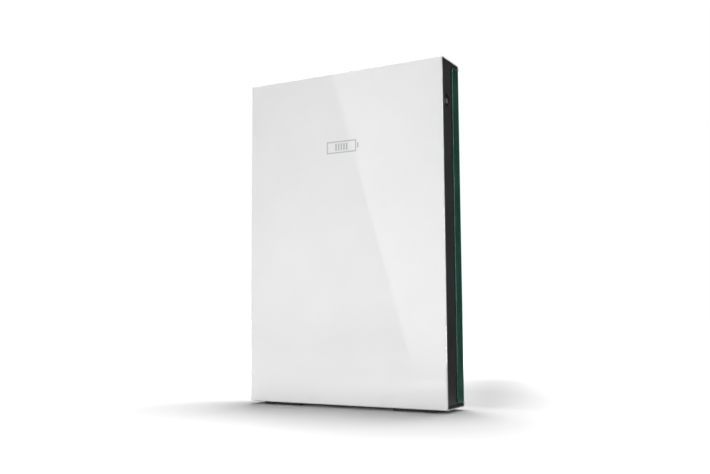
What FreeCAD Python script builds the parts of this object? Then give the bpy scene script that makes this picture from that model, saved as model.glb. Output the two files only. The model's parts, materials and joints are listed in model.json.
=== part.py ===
"""Wall battery unit: a liquid-cooled home battery with its inverter, modelled as the assembly that it is.

Frame: millimetres, +X to the viewer's right, +Y from the front cover to the wall, +Z up, with the origin on
the floor under the middle of the unit. Every size is a cell of the sheet called Sizes, and formulas use the
cells' names.
"""
import FreeCAD, Part
import math
import os
import re

import Sketcher
from FreeCAD import Rotation, Vector

SIZES = {
    # The whole unit, standing on its feet.
    "unit_width": 753, "unit_depth": 147, "unit_height": 1150, "foot_height": 10,
    # Front cover: a shallow tray that snaps on to the lid with studs.
    "cover_skin": 2.5, "cover_return": 7, "cover_edge_radius": 5, "cover_corner_radius": 6, "cover_gap": 1,
    "cover_rib_width": 3, "cover_rib_depth": 3, "stud_radius": 4, "stud_length": 8.2, "stud_flange": 9,
    "clip_radius": 9, "clip_bore": 4.3, "clip_height": 6, "stud_spread": 300, "stud_rise": 340,
    "badge_width": 116, "badge_height": 42, "badge_line": 4.2, "badge_thick": 0.6, "badge_level": 887,
    # Rear enclosure: a sheet folded round the top, the back and the bottom, with two inset side walls.
    "shell_sheet": 3, "side_inset": 10, "wall_sheet": 2.5, "rear_radius": 10, "rim_setback": 17,
    "rim_sheet": 2.5,
    "rim_width": 16, "recess_width": 470, "recess_height": 580, "recess_level": 720, "recess_depth": 18,
    # Side covers and the light strip.
    "panel_thick": 6, "panel_skin": 2, "panel_rear": 8, "lip_drop": 11, "lip_reach": 3.5, "lip_top": 4,
    "seam": 0.5,
    "lens_front": 16.5, "lens_margin": 16, "lens_corner": 15, "lens_bevel": 4.5,
    "led_strip_width": 12, "led_strip_length": 1040, "board_thick": 1.6, "led_size": 3.5, "led_count": 24,
    "led_chamber": 4, "led_chamber_width": 18, "louvre_height": 5, "louvre_pitch": 14, "louvre_count": 20,
    "louvre_width": 70, "exhaust_width": 4.5, "exhaust_length": 36, "exhaust_count": 7, "exhaust_span": 300,
    # Enable switch on the right side.
    "switch_depth": -29, "switch_level": 1012, "bezel_radius": 22, "bezel_thick": 2, "barrel_radius": 19,
    "barrel_length": 28, "rocker_radius": 12.6, "rocker_width": 20, "rocker_gap": 0.4, "rocker_tilt": 10,
    "rocker_pivot": 11, "rocker_face": 2, "pivot_radius": 1.5, "pivot_clearance": 0.06,
    # Feet.
    "foot_width": 150, "foot_length": 118, "foot_spacing": 504, "pad_thick": 2.5, "pad_size": 30,
    # Wall bracket and the cleats that hang on it.
    "bracket_sheet": 2.5, "bracket_width": 456, "bracket_height": 510, "bracket_level": 735, "hook_width": 50,
    "hook_rise": 20, "hook_sheet": 3, "cleat_width": 60, "cleat_spread": 140, "cleat_upper": 905,
    "cleat_lower": 625, "anchor_spacing": 406.4, "anchor_rise": 400, "anchor_radius": 5.5,
    # Service lid.
    "lid_sheet": 2, "gasket_thick": 1.5, "lid_screw_length": 7, "screw_radius": 2.5,
    "screw_head_radius": 4.6, "screw_head_height": 2.8, "screw_clearance": 0.4, "lid_panel_rise": 2.5,
    # Wiring compartment at the top right.
    "wiring_width": 100, "wiring_height": 262, "wiring_centre": 290, "wiring_level": 992, "wiring_wall": 3,
    "hatch_width": 84, "hatch_height": 236, "hatch_depth": 4.5, "hatch_sheet": 1.5, "conduit_radius": 17.3,
    "conduit_level": 1065, "conduit_spread": 48, "terminal_level": 972, "pole_count": 6, "pole_pitch": 13,
    # Battery modules.
    "module_width": 684, "module_height": 352, "module_wall": 3, "module_front": -48, "module_rear": 46,
    "module_lower": 212, "module_upper": 574, "cell_radius": 10.6, "cell_length": 70, "cell_columns": 27,
    "cell_rows": 15, "cell_pitch": 24, "cell_row_pitch": 22.3, "cell_front": -36,
    "busbar_thick": 0.8, "cold_plate_thick": 6,
    # Inverter.
    "inverter_width": 390, "inverter_height": 330, "inverter_centre": 30, "inverter_level": 958,
    "inverter_front": -40, "inverter_rear": 46, "inverter_wall": 4, "fin_depth": 18, "fin_thick": 2,
    "fin_count": 22, "power_board_face": 10,
    # Cooling.
    "radiator_centre": -338, "radiator_thick": 36, "radiator_level": 960, "radiator_height": 300,
    "radiator_depth": 96, "tube_count": 8, "tube_thick": 3, "fan_size": 92, "fan_thick": 25.4,
    "fan_bore": 44.5, "fan_hub": 19, "fan_blades": 7, "fan_front": -320, "fan_lower": 905, "fan_upper": 1015,
    "fan_tip_gap": 1.5,
    "pump_radius": 27, "pump_length": 56, "pump_centre": -225, "pump_level": 820, "impeller_radius": 20,
    "bottle_width": 92, "bottle_height": 104, "bottle_depth": 76, "bottle_centre": -232, "bottle_level": 1027,
    "hose_radius": 8, "hose_bore": 5.5, "nipple_length": 9,
}

doc = FreeCAD.newDocument("wall_battery_unit")
sheet = doc.addObject("Spreadsheet::Sheet", "Sizes")
for row, (alias, size) in enumerate(SIZES.items(), 1):
    sheet.set(f"A{row}", alias)
    sheet.set(f"B{row}", str(size))
    sheet.setAlias(f"B{row}", alias)
doc.recompute()

NODES = {}
WORD = re.compile(r"[a-z][a-z_]*")
AXES = {"x": Vector(1, 0, 0), "y": Vector(0, 1, 0), "z": Vector(0, 0, 1)}

# Planes that many pieces share, as formulas.
FRONT = "(-unit_depth / 2)"
BACK = "(unit_depth / 2)"
INNER_BACK = "(unit_depth / 2 - shell_sheet)"
BASE = "foot_height"
MIDDLE = "((unit_height + foot_height) / 2)"
SHELL_HEIGHT = "(unit_height - foot_height)"
WALL_FACE = "(unit_width / 2 - side_inset)"
PANEL_FACE = "(unit_width / 2 - side_inset + panel_thick)"
RIM_FACE = "(rim_setback - unit_depth / 2)"
LID_FACE = "(rim_setback - unit_depth / 2 - gasket_thick - lid_sheet)"
NIPPLE = "hose_bore - 0.05"


# ---------------------------------------------------------------- formulas
def formula(text):
    """The text with each cell's name pointed at the sheet."""
    return WORD.sub(lambda m: "Sizes." + m.group() if m.group() in SIZES else m.group(), str(text))


def number(text):
    """What a formula comes to, as a plain number."""
    return float(sheet.evalExpression(formula(text)))


def bind(item, **formulas):
    for name, text in formulas.items():
        item.setExpression(name, formula(text))
    return item


def place(item, x, y, z):
    for letter, text in (("x", x), ("y", y), ("z", z)):
        item.setExpression("Placement.Base." + letter, formula(text))
    return item


def keep(item, label):
    """Names a finished sub-part, which is then written to a file of that name."""
    item.Label = label
    NODES[label] = item
    return item


# ---------------------------------------------------------------- Part primitives
def block(centre, size):
    """A box given by its centre and its size along X, Y and Z."""
    item = doc.addObject("Part::Box", "block")
    bind(item, Length=size[0], Width=size[1], Height=size[2])
    return place(item, *(f"({c}) - ({s}) / 2" for c, s in zip(centre, size)))


def rod(start, axis, radius, length):
    """A cylinder that runs from its start along +x, +y or +z."""
    item = doc.addObject("Part::Cylinder", "rod")
    bind(item, Radius=radius, Height=length)
    item.Placement.Rotation = Rotation(Vector(0, 0, 1), AXES[axis])
    return place(item, *start)


def fuse(*items):
    item = doc.addObject("Part::MultiFuse", "fuse")
    item.Shapes = list(items)
    return item


def group(*items):
    """Separate solids that share one node."""
    item = doc.addObject("Part::Compound", "group")
    item.Links = list(items)
    return item


def cut(base, *tools):
    item = doc.addObject("Part::Cut", "cut")
    item.Base = base
    item.Tool = tools[0] if len(tools) == 1 else fuse(*tools)
    return item


def ease(base, radius, pick):
    """A fillet on the edges of a Part object that pick says."""
    doc.recompute()
    item = doc.addObject("Part::Fillet", "fillet")
    item.Base = base
    size = number(radius)
    item.Edges = [(i, size, size) for i, edge in enumerate(base.Shape.Edges, 1) if pick(edge)]
    return item


def feature(shape, label):
    """A sub-part whose shape is worked out here from the sheet's sizes."""
    item = doc.addObject("Part::Feature", label)
    item.Shape = shape
    return keep(item, label)


# ---------------------------------------------------------------- edges
def along(axis, edge):
    """Whether an edge is straight and runs along an axis."""
    box = edge.BoundBox
    spans = {"x": box.XLength, "y": box.YLength, "z": box.ZLength}
    return spans.pop(axis) > 1e-3 and max(spans.values()) < 1e-3


def lies(edge, **planes):
    """Whether all of an edge lies in the planes given, such as y=-73.5."""
    box = edge.BoundBox
    ends = {"x": (box.XMin, box.XMax), "y": (box.YMin, box.YMax), "z": (box.ZMin, box.ZMax)}
    return all(abs(v - plane) < 1e-3 for letter, plane in planes.items() for v in ends[letter])


# ---------------------------------------------------------------- sketch outlines
def fix(sketch, *constraint):
    """Adds a size to a sketch, with its last entry a formula."""
    index = sketch.addConstraint(Sketcher.Constraint(*constraint[:-1], number(constraint[-1])))
    sketch.setExpression(f"Constraints[{index}]", formula(constraint[-1]))


def rectangle(width, height):
    def draw(sketch):
        x, y = number(width) / 2, number(height) / 2
        corners = [Vector(-x, -y), Vector(x, -y), Vector(x, y), Vector(-x, y)]
        lines = [Part.LineSegment(a, b) for a, b in zip(corners, corners[1:] + corners[:1])]
        a = sketch.addGeometry(lines, False)[0]
        rules = [Sketcher.Constraint("Coincident", a + i, 2, a + (i + 1) % 4, 1) for i in range(4)]
        rules += [Sketcher.Constraint(kind, a + i) for i, kind in enumerate(("Horizontal", "Vertical") * 2)]
        rules.append(Sketcher.Constraint("Symmetric", a, 1, a + 2, 1, -1, 1))
        sketch.addConstraint(rules)
        fix(sketch, "DistanceX", a, 1, a, 2, width)
        fix(sketch, "DistanceY", a + 1, 1, a + 1, 2, height)
    return draw


def rounded(width, height, radius):
    def draw(sketch):
        x, y, r = number(width) / 2, number(height) / 2, number(radius)
        signs = [(1, -1), (1, 1), (-1, 1), (-1, -1)]
        arcs = []
        for i, (sx, sy) in enumerate(signs):
            circle = Part.Circle(Vector(sx * (x - r), sy * (y - r), 0), Vector(0, 0, 1), r)
            arcs.append(Part.ArcOfCircle(circle, (i + 3) * math.pi / 2, (i + 4) * math.pi / 2))
        a = sketch.addGeometry(arcs, False)[0]
        ends = [(arc.StartPoint, arc.EndPoint) for arc in arcs]
        sides = [Part.LineSegment(ends[i][1], ends[(i + 1) % 4][0]) for i in range(4)]
        b = sketch.addGeometry(sides, False)[0]
        rules = []
        for i in range(4):
            rules.append(Sketcher.Constraint("Tangent", a + i, 2, b + i, 1))
            rules.append(Sketcher.Constraint("Tangent", b + i, 2, a + (i + 1) % 4, 1))
            rules.append(Sketcher.Constraint(("Vertical", "Horizontal")[i % 2], b + i))
        rules += [Sketcher.Constraint("Equal", a, a + i) for i in (1, 2, 3)]
        rules.append(Sketcher.Constraint("Symmetric", a, 3, a + 2, 3, -1, 1))
        sketch.addConstraint(rules)
        fix(sketch, "Radius", a, radius)
        fix(sketch, "DistanceX", b + 2, 1, b, 1, width)
        fix(sketch, "DistanceY", b + 3, 1, b + 1, 1, height)
    return draw


def circle(radius):
    def draw(sketch):
        a = sketch.addGeometry(Part.Circle(Vector(), Vector(0, 0, 1), number(radius)), False)
        sketch.addConstraint(Sketcher.Constraint("Coincident", a, 3, -1, 1))
        fix(sketch, "Radius", a, radius)
    return draw


def circles(points, radius):
    """Equal holes whose centres are formulas."""
    def draw(sketch):
        for x, y in points:
            centre = Vector(number(x), number(y), 0)
            a = sketch.addGeometry(Part.Circle(centre, Vector(0, 0, 1), number(radius)), False)
            fix(sketch, "Radius", a, radius)
            fix(sketch, "DistanceX", -1, 1, a, 3, x)
            fix(sketch, "DistanceY", -1, 1, a, 3, y)
    return draw


def polygon(points):
    """A closed outline of straight sides whose corners are formulas."""
    def draw(sketch):
        corners = [Vector(number(x), number(y), 0) for x, y in points]
        lines = [Part.LineSegment(a, b) for a, b in zip(corners, corners[1:] + corners[:1])]
        a = sketch.addGeometry(lines, False)[0]
        n = len(points)
        joints = [Sketcher.Constraint("Coincident", a + i, 2, a + (i + 1) % n, 1) for i in range(n)]
        sketch.addConstraint(joints)
        for i, (x, y) in enumerate(points):
            fix(sketch, "DistanceX", -1, 1, a + i, 1, x)
            fix(sketch, "DistanceY", -1, 1, a + i, 1, y)
    return draw


class Piece:
    """A PartDesign body, built feature by feature. Its faces are named front, side or top, as they look."""

    PLANES = {"front": "XZ_Plane", "side": "YZ_Plane", "top": "XY_Plane"}
    NORMALS = {"front": "-y", "side": "+x", "top": "+z"}

    def __init__(self, label=None):
        self.body = doc.addObject("PartDesign::Body", label or "body")
        if label:
            keep(self.body, label)

    def origin(self, role):
        return next(item for item in self.body.Origin.OriginFeatures if item.Role == role)

    def sketch(self, face, at, *outlines):
        """A sketch that faces front, side or top, with its own origin at a point of the unit's frame."""
        sketch = self.body.newObject("Sketcher::SketchObject", "sketch")
        sketch.AttachmentSupport = [(self.origin(self.PLANES[face]), "")]
        sketch.MapMode = "FlatFace"
        x, y, z = at
        local = {"front": (x, z, f"-({y})"), "side": (y, z, x), "top": (x, y, z)}[face]
        for letter, text in zip("xyz", local):
            sketch.setExpression("AttachmentOffset.Base." + letter, formula(text))
        for draw in outlines:
            draw(sketch)
        return sketch

    def extrude(self, kind, face, at, outlines, depth, toward):
        item = self.body.newObject("PartDesign::" + kind, kind.lower())
        item.Profile = self.sketch(face, at, *outlines)
        bind(item, Length=depth)
        item.Reversed = (toward == self.NORMALS[face]) == (kind == "Pocket")
        doc.recompute()
        return item

    def pad(self, face, at, outlines, depth, toward):
        return self.extrude("Pad", face, at, outlines, depth, toward)

    def pocket(self, face, at, outlines, depth, toward):
        before = self.body.Shape.Volume
        item = self.extrude("Pocket", face, at, outlines, depth, toward)
        assert self.body.Shape.Volume < before - 1e-3, f"{self.body.Label}: a pocket cuts nothing"
        return item

    def dress(self, kind, size, pick):
        """A fillet or a chamfer on the edges that pick says."""
        base = self.body.Tip
        names = [f"Edge{i}" for i, edge in enumerate(base.Shape.Edges, 1) if pick(edge)]
        assert names, f"{self.body.Label}: no edge to dress"
        item = self.body.newObject("PartDesign::" + kind, kind.lower())
        item.Base = (base, names)
        item.setExpression("Radius" if kind == "Fillet" else "Size", formula(size))
        doc.recompute()
        assert "Invalid" not in item.State, f"{self.body.Label}: {kind} of {size} fails on {len(names)} edges"
        return item

    def repeat(self, item, axis, span, count):
        """Repeats a feature along X, Y or Z, with the last one a span away."""
        pattern = self.body.newObject("PartDesign::LinearPattern", "pattern")
        pattern.Originals = [item]
        pattern.Direction = (self.origin(axis.upper() + "_Axis"), [""])
        bind(pattern, Length=span, Occurrences=count)
        self.body.Tip = pattern
        doc.recompute()
        return pattern


# ---------------------------------------------------------------- fasteners
def screw(head_radius, head_height, radius, length):
    """A button-head socket screw along +Y. Its head's underside is at the origin, and its head towards -Y."""
    head = Part.makeCylinder(head_radius, head_height, Vector(), Vector(0, -1, 0))
    rim = [e for e in head.Edges if abs(e.BoundBox.YMax + head_height) < 1e-6]
    head = head.makeFillet(head_height * 0.45, rim)
    flat = head_radius * 0.5
    turns = [a * math.pi / 3 for a in range(7)]
    corners = [Vector(flat * math.cos(turn), 0, flat * math.sin(turn)) for turn in turns]
    socket = Part.Face(Part.makePolygon(corners)).extrude(Vector(0, -head_height, 0))
    socket.translate(Vector(0, -head_height * 0.4, 0))
    shank = Part.makeCylinder(radius, length, Vector(), Vector(0, 1, 0))
    return head.cut(socket).fuse(shank).removeSplitter()


def screws(label, shape, points, toward=Vector(0, 1, 0)):
    """Copies of a screw at points, pointing a given way, as one node."""
    turn = Rotation(Vector(0, 1, 0), toward)
    copies = []
    for point in points:
        copy = shape.copy()
        copy.Placement = FreeCAD.Placement(Vector(*point), turn)
        copies.append(copy)
    return feature(Part.makeCompound(copies), label)


def lid_screw_points():
    """Where the lid's screws go: a ring round the rim, as (x, z) formulas about the rim's middle."""
    x = "(unit_width / 2 - side_inset - wall_sheet - rim_width / 2)"
    z = "(unit_height / 2 - foot_height / 2 - shell_sheet - rim_width / 2)"
    ring = []
    for i in range(-4, 5):
        ring += [(f"-{x}", f"{i} * {z} / 4"), (x, f"{i} * {z} / 4")]
    for i in (-1, 0, 1):
        ring += [(f"{i} * {x} / 2", f"-{z}"), (f"{i} * {x} / 2", z)]
    return ring


def hatch_screw_points():
    """Where the wiring cover's four screws go, as (x, z) formulas about the hatch's middle."""
    return [(f"{sx} * (hatch_width / 2 - 7)", f"{sz} * (hatch_height / 2 - 7)")
            for sx in (-1, 1) for sz in (-1, 1)]


def stud_points():
    """Where the front cover's studs go, as (x, z) formulas about the unit's middle."""
    return [(f"{sx} * stud_spread", f"{sz} * stud_rise") for sx in (-1, 0, 1) for sz in (-1.5, -0.5, 0.5, 1.5)
            if not (sx == 1 and sz == 1.5)]


# ================================================================ rear enclosure
SHELL_FRONT = "(cover_return + cover_gap - unit_depth / 2)"
SHELL_DEPTH = "(unit_depth - cover_return - cover_gap)"
INSIDE_WIDTH = "(unit_width - 2 * side_inset - 2 * wall_sheet)"
INSIDE_HEIGHT = "(unit_height - foot_height - 2 * shell_sheet)"
RECESS_FACE = "(unit_depth / 2 - recess_depth)"
GROOVE = "((panel_rear + lens_front) / 2)"

shell = Piece("rear_enclosure")
shell.pad("front", (0, SHELL_FRONT, MIDDLE), [rectangle("unit_width", SHELL_HEIGHT)], SHELL_DEPTH, "+y")
back = number(BACK)
shell.dress("Fillet", "rear_radius", lambda e: along("x", e) and lies(e, y=back))
shell.pocket("side", ("-unit_width / 2", INNER_BACK + " - unit_depth", MIDDLE),
             [rounded("2 * unit_depth", INSIDE_HEIGHT, "rear_radius - shell_sheet")], "unit_width", "+x")
for hand, inward in ((1, "-x"), (-1, "+x")):
    # The back sheet stops short of each side, where a light strip can wrap round to the back.
    shell.pocket("side", (f"{hand} * unit_width / 2", BACK, MIDDLE),
                 [rectangle("2 * rear_radius", SHELL_HEIGHT + " - 2 * lens_margin")], "side_inset", inward)
# The recess that takes the wall bracket.
shell.pad("front", (0, INNER_BACK, "recess_level"),
          [rectangle("recess_width + 2 * shell_sheet", "recess_height + 2 * shell_sheet")],
          "recess_depth", "-y")
shell.pocket("front", (0, BACK, "recess_level"), [rectangle("recess_width", "recess_height")],
             "recess_depth", "-y")
# Holes: the cleats' screws, the conduits, the feet and the breather.
CLEAT_SCREWS = [(f"{sx} * cleat_spread + {dx}", f"{level} + 35") for sx in (-1, 1)
                for level in ("cleat_lower", "cleat_upper") for dx in (-18, 18)]
shell.pocket("front", (0, RECESS_FACE, 0), [circles(CLEAT_SCREWS, "screw_radius + screw_clearance")],
             "shell_sheet", "-y")
CONDUITS = [(f"wiring_centre + {sx} * conduit_spread / 2", "conduit_level") for sx in (-1, 1)]
shell.pocket("front", (0, BACK, 0), [circles(CONDUITS, "conduit_radius")], "shell_sheet", "-y")
FOOT_BOLTS = [(f"{sx} * foot_spacing / 2 + {dx} * foot_width * 0.32", 0) for sx in (-1, 1) for dx in (-1, 1)]
BREATHER = ("-90", "30")
shell.pocket("top", (0, 0, BASE), [circles(FOOT_BOLTS + [BREATHER], 3.4)], "shell_sheet", "+z")


def side_wall(hand):
    """An inset side wall, welded between the top, the back and the bottom, and its inward direction."""
    inward = "-x" if hand == 1 else "+x"
    wall = Piece()
    wall.pad("side", (f"{hand} * {WALL_FACE}", f"({SHELL_FRONT} + {INNER_BACK}) / 2", MIDDLE),
             [rectangle(f"{INNER_BACK} - {SHELL_FRONT}", INSIDE_HEIGHT)], "wall_sheet", inward)
    rear = number(INNER_BACK)
    wall.dress("Fillet", "rear_radius - shell_sheet", lambda e: along("x", e) and lies(e, y=rear))
    return wall


# Air goes in through the left wall, in front of the radiator, and out through the groove by the light strip.
LOUVRE_SPAN = "louvre_pitch * (louvre_count - 1)"
LOUVRE_START = f"(radiator_level - {LOUVRE_SPAN} / 2)"
EXHAUST_START = (GROOVE, "wiring_level - exhaust_span / 2")
left_wall = side_wall(-1)
slot = left_wall.pocket("side", ("-" + WALL_FACE, 0, LOUVRE_START),
                        [rectangle("louvre_width", "louvre_height + 3")],
                        "wall_sheet", "+x")
left_wall.repeat(slot, "z", LOUVRE_SPAN, "louvre_count")
right_wall = side_wall(1)
right_wall.pocket("side", (WALL_FACE, "switch_depth", "switch_level"), [circle("barrel_radius + 0.5")],
                  "wall_sheet", "-x")
slot = right_wall.pocket("side", (WALL_FACE, *EXHAUST_START), [rectangle("exhaust_width", "exhaust_length")],
                         "wall_sheet", "-x")
right_wall.repeat(slot, "z", "exhaust_span", "exhaust_count")
keep(group(left_wall.body, right_wall.body), "side_walls")

# The rim that the service lid screws down on.
rim = Piece("lid_rim")
rim.pad("front", (0, RIM_FACE, MIDDLE),
        [rectangle(INSIDE_WIDTH, INSIDE_HEIGHT),
         rectangle(INSIDE_WIDTH + " - 2 * rim_width", INSIDE_HEIGHT + " - 2 * rim_width")], "rim_sheet", "+y")
rim.pocket("front", (0, RIM_FACE, MIDDLE), [circles(lid_screw_points(), "screw_radius + screw_clearance")],
           "rim_sheet", "+y")

# ================================================================ front cover and its badge
COVER_BACK = "(cover_skin - unit_depth / 2)"
cover = Piece("front_cover")
cover.pad("front", (0, FRONT, MIDDLE), [rounded("unit_width", SHELL_HEIGHT, "cover_corner_radius")],
          "cover_return", "+y")
front = number(FRONT)
cover.dress("Fillet", "cover_edge_radius", lambda e: lies(e, y=front))
cover.pocket("front", (0, FRONT + " + cover_return", MIDDLE),
             [rounded("unit_width - 2 * cover_skin", SHELL_HEIGHT + " - 2 * cover_skin",
                      "cover_corner_radius - cover_skin")], "cover_return - cover_skin", "-y")
rib = cover.pad("front", ("-0.75 * stud_spread", COVER_BACK, MIDDLE),
                [rectangle("cover_rib_width", SHELL_HEIGHT + " - 30")], "cover_rib_depth", "+y")
cover.repeat(rib, "x", "1.5 * stud_spread", 4)
rib = cover.pad("front", (0, COVER_BACK, MIDDLE + " - 1.25 * stud_rise"),
                [rectangle("unit_width - 30", "cover_rib_width")], "cover_rib_depth", "+y")
cover.repeat(rib, "z", "2.5 * stud_rise", 6)

# Snap studs, bonded to the back of the cover between its ribs: a flange and a shank with a domed tip.
studs = []
for x, z in stud_points():
    at = (x, COVER_BACK, f"{MIDDLE} + {z}")
    tip = number(COVER_BACK + " + stud_length")
    shank = ease(rod(at, "y", "stud_radius", "stud_length"), 1.5, lambda e: lies(e, y=tip))
    studs.append(fuse(rod(at, "y", "stud_flange", "cover_rib_depth"), shank))
keep(group(*studs), "cover_studs")

# The badge is a plain battery pictogram let into the cover: an outline, a terminal and charge bars.
BAR = "(badge_height - 4 * badge_line)"
badge_frame = [("badge_width", "badge_height"),
               ("badge_width - 2 * badge_line", "badge_height - 2 * badge_line")]
cover.pocket("front", (0, FRONT, "badge_level"), [rectangle(*size) for size in badge_frame],
             "badge_thick", "+y")
BADGE_BARS = [(f"{i} * 2.5 * badge_line", "1.5 * badge_line", BAR) for i in range(-2, 3)]
BADGE_BARS.append(("badge_width / 2 + 1.5 * badge_line", "badge_line * 1.2", "badge_height / 2.4"))
for x, width, height in BADGE_BARS:
    cover.pocket("front", (x, FRONT, "badge_level"), [rectangle(width, height)], "badge_thick", "+y")
BADGE_MIDDLE = FRONT + " + badge_thick / 2"
outline = cut(*(block((0, BADGE_MIDDLE, "badge_level"), (w, "badge_thick", h)) for w, h in badge_frame))
bars = [block((x, BADGE_MIDDLE, "badge_level"), (w, "badge_thick", h)) for x, w, h in BADGE_BARS]
keep(group(outline, *bars), "cover_badge")

# ================================================================ side covers, light strip and LEDs
SIDE_DEPTH = f"({INNER_BACK} - {SHELL_FRONT})"
SIDE_CENTRE = f"(({INNER_BACK} + {SHELL_FRONT}) / 2)"
LENS_FACE = "(unit_width / 2)"
LENS_BACK = "(unit_width / 2 - side_inset + panel_skin)"
LENS_DEPTH = f"({BACK} - 1 - lens_front)"


def side_cover(label, hand):
    """One side's cover, with its top and bottom lips sloping out to the enclosure's edges."""
    out, back_in = ("+x", "-x") if hand == 1 else ("-x", "+x")
    piece = Piece(label)
    piece.pad("side", (f"{hand} * {WALL_FACE}", SIDE_CENTRE, MIDDLE), [rectangle(SIDE_DEPTH, INSIDE_HEIGHT)],
              "panel_thick + lip_reach", out)
    rear = number(INNER_BACK)
    piece.dress("Fillet", "rear_radius - shell_sheet", lambda e: along("x", e) and lies(e, y=rear))
    low = "(foot_height + shell_sheet)"
    high = "(unit_height - shell_sheet)"
    tip = f"{hand} * ({PANEL_FACE} + lip_reach)"
    beyond = f"{hand} * ({PANEL_FACE} + lip_reach + 2)"
    profile = [(f"{hand} * {PANEL_FACE}", low + " + lip_drop"),
               (tip, low + " + 1.5"), (beyond, low + " + 1.5"),
               (beyond, high + " - 1.5"), (tip, high + " - 1.5"),
               (f"{hand} * {PANEL_FACE}", high + " - lip_top")]
    piece.pocket("front", (0, SHELL_FRONT, 0), [polygon(profile)], SIDE_DEPTH, "+y")
    return piece, out, back_in


panel, out, back_in = side_cover("side_cover_right", 1)
panel.pocket("side", (PANEL_FACE + " + lip_reach", "panel_rear + unit_depth", MIDDLE),
             [rounded("2 * unit_depth", SHELL_HEIGHT + " - 2 * lens_margin + 2 * seam", "lens_corner + 3")],
             "panel_thick + lip_reach - panel_skin", back_in)
panel.pocket("side", (PANEL_FACE, "switch_depth", "switch_level"), [circle("barrel_radius + 0.5")],
             "panel_thick", back_in)
slot = panel.pocket("side", (LENS_BACK, *EXHAUST_START), [rectangle("exhaust_width", "exhaust_length")],
                    "panel_skin", back_in)
panel.repeat(slot, "z", "exhaust_span", "exhaust_count")

panel, out, back_in = side_cover("side_cover_left", -1)
slot = panel.pocket("side", ("-" + PANEL_FACE, 0, LOUVRE_START), [rectangle("louvre_width", "louvre_height")],
                    "panel_thick", back_in)
panel.repeat(slot, "z", LOUVRE_SPAN, "louvre_count")

lens = Piece("light_pipe")
lens_at = (LENS_BACK, "lens_front + " + LENS_DEPTH + " / 2", MIDDLE)
lens.pad("side", lens_at, [rectangle(LENS_DEPTH, SHELL_HEIGHT + " - 2 * lens_margin")],
         f"{LENS_FACE} - {LENS_BACK}", "+x")
lens_front, lens_face, lens_rear = number("lens_front"), number(LENS_FACE), number(BACK + " - 1")
lens.dress("Fillet", "lens_corner", lambda e: along("x", e) and lies(e, y=lens_front))
lens.dress("Fillet", "lens_bevel", lambda e: lies(e, x=lens_face, y=lens_rear))
lens.dress("Fillet", 0.8, lambda e: lies(e, x=lens_face, y=lens_front))
lens.pocket("side", lens_at, [rectangle("led_chamber_width", "led_strip_length + 8")], "led_chamber", "+x")

keep(block((LENS_BACK + " + board_thick / 2", lens_at[1], MIDDLE),
           ("board_thick", "led_strip_width", "led_strip_length")), "led_board")
LED_PITCH = "(led_strip_length - 30) / (led_count - 1)"
LED_LEVELS = [f"{MIDDLE} + ({i} - (led_count - 1) / 2) * {LED_PITCH}"
              for i in range(int(number("led_count")))]
keep(group(*(block((LENS_BACK + " + board_thick + 1", lens_at[1], z), (2, "led_size", "led_size"))
             for z in LED_LEVELS)), "status_leds")

# ================================================================ enable switch
PIVOT = f"({PANEL_FACE} + bezel_thick - rocker_pivot - rocker_face)"
switch_at = ("switch_depth", "switch_level")
housing = Piece("switch_housing")
housing.pad("side", (PANEL_FACE, *switch_at), [circle("bezel_radius")], "bezel_thick", "+x")
bezel = number(PANEL_FACE + " + bezel_thick")
housing.dress("Fillet", "bezel_thick * 0.6", lambda e: lies(e, x=bezel))
housing.pad("side", (PANEL_FACE, *switch_at), [circle("barrel_radius")], "barrel_length", "-x")
housing.pocket("side", (PANEL_FACE + " + bezel_thick", *switch_at),
               [rectangle("rocker_width + 2 * rocker_gap", "2 * rocker_radius + 2 * rocker_gap")],
               f"{PANEL_FACE} + bezel_thick - {PIVOT} + rocker_radius + 1", "-x")
housing.pocket("front", (PIVOT, "switch_depth - rocker_width / 2 - 3", "switch_level"),
               [circle("pivot_radius + pivot_clearance")], "rocker_width + 6", "+y")


def rocker():
    """The rocker, resting with its upper half pressed in: a drum on pins with two flats in a shallow V."""
    radius, width, tilt = number("rocker_radius"), number("rocker_width"), number("rocker_tilt")
    drum = Part.makeCylinder(radius, width, Vector(0, -width / 2, 0), Vector(0, 1, 0))
    for turn, side in ((tilt, -1), (-tilt, 1)):
        flat = Part.makeBox(40, 60, 40, Vector(number("rocker_pivot"), -30, 0 if side == 1 else -40))
        flat.rotate(Vector(number("rocker_pivot"), 0, 0), Vector(0, 1, 0), -turn)
        drum = drum.cut(flat)
    pins = Part.makeCylinder(number("pivot_radius"), width + 5, Vector(0, -width / 2 - 2.5, 0),
                             Vector(0, 1, 0))
    dot = Part.makeCylinder(1.6, 6, Vector(radius - 4, 0, radius * 0.55), Vector(1, 0, 0))
    shape = drum.fuse(pins).cut(dot).removeSplitter()
    shape.rotate(Vector(), Vector(0, 1, 0), -tilt)
    return shape


item = feature(rocker(), "switch_rocker")
item.Placement.Base = Vector(number(PIVOT), number("switch_depth"), number("switch_level"))
tab_x = PANEL_FACE + " - barrel_length - 2"
keep(group(*(block((tab_x, "switch_depth", f"switch_level + {dz}"), (4, 6.3, 0.8)) for dz in (-8, 0, 8))),
     "switch_terminals")

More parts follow.
